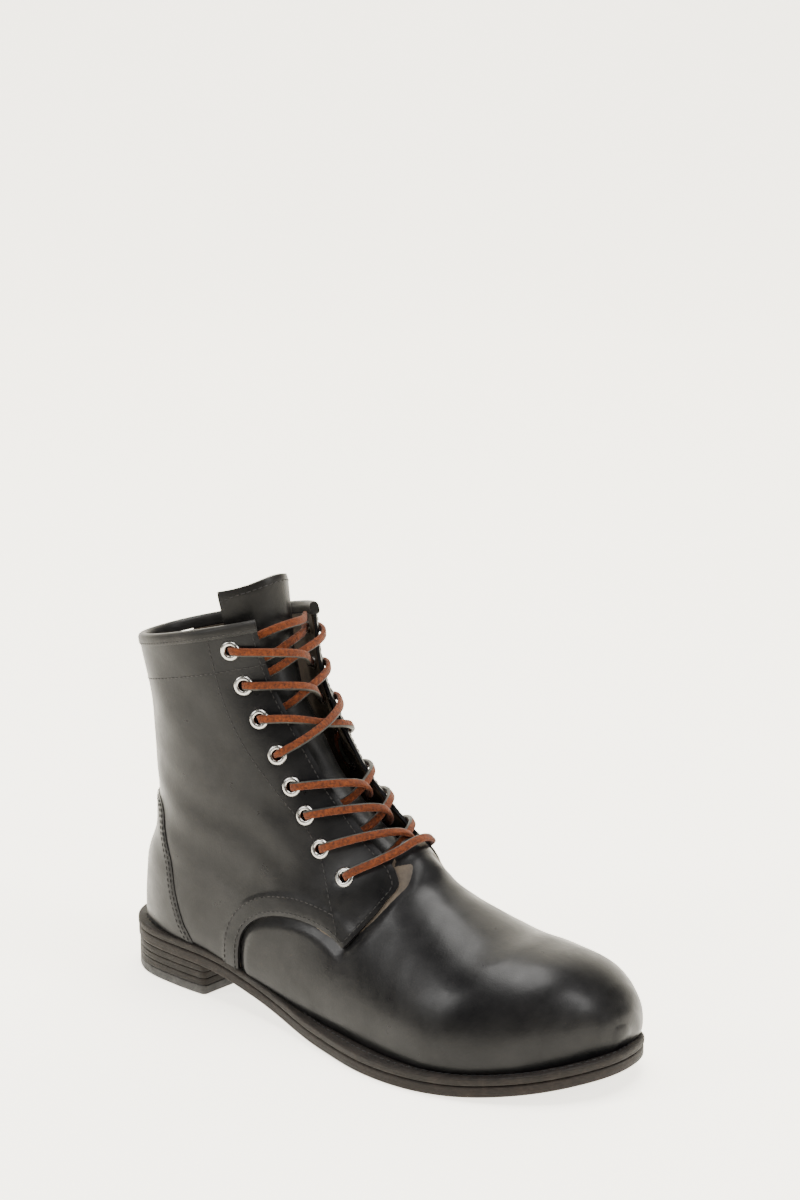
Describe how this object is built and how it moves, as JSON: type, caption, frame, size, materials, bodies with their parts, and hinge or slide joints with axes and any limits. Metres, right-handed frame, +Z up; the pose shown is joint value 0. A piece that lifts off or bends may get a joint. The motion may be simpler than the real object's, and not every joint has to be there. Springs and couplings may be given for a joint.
{
  "type": "lace-up ankle boot",
  "caption": "Black leather plain-toe lace-up ankle boot for the right foot, stacked low heel, stitched welt, metal eyelets and a rust leather lace.",
  "frame": {"origin": "centre of the heel's flat bottom face", "axes": "+X from heel to toe, +Y to the wearer's left, which is the inner side of this right boot, +Z up"},
  "size_m": [0.3003, 0.1175, 0.2151],
  "materials": {
    "upper_leather": "burnished black full-grain, satin",
    "tongue_leather": "soft black, creased",
    "binding_leather": "rolled black edge, satin",
    "lining_leather": "undyed brown lining",
    "stiffener_board": "pressed fibre board",
    "insole_leather": "vegetable-tanned, matt",
    "sock_leather": "dark brown, matt",
    "cork": "ground cork",
    "spring_steel": "brushed",
    "welt_leather": "edge-dyed dark brown, stitched",
    "sole_leather": "edge-dyed dark brown, worn",
    "heel_leather": "stacked, edge-dyed",
    "heel_rubber": "matt black rubber",
    "nail_steel": "bright",
    "eyelet_nickel": "polished nickel",
    "lace_thong": "rust suede thong"
  },
  "bodies": {
    "boot": {"vamp": "upper_leather", "quarter_lateral": "upper_leather", "quarter_medial": "upper_leather", "heel_counter_cover": "upper_leather", "collar_binding": "binding_leather", "vamp_lining": "lining_leather", "quarter_lining_lateral": "lining_leather", "quarter_lining_medial": "lining_leather", "eyestay_facing_lateral": "lining_leather", "eyestay_facing_medial": "lining_leather", "toe_puff": "stiffener_board", "heel_counter_stiffener": "stiffener_board", "insole": "insole_leather", "sock_liner": "sock_leather", "cork_filler": "cork", "steel_shank": "spring_steel", "welt": "welt_leather", "outsole": "sole_leather", "heel_lift_1": "heel_leather", "heel_lift_2": "heel_leather", "heel_lift_3": "heel_leather", "heel_top_piece": "heel_rubber", "heel_nails": "nail_steel", "eyelets_lateral": "eyelet_nickel", "eyelets_medial": "eyelet_nickel", "lace": "lace_thong"},
    "tongue": {"tongue": "tongue_leather"}
  },
  "joints": [
    {"name": "tongue_tilt", "type": "hinge", "parent": "boot", "child": "tongue", "pos_m": [0.148, 0, 0.078], "axis": [0, -1, 0], "range_deg": [0, 12]}
  ]
}
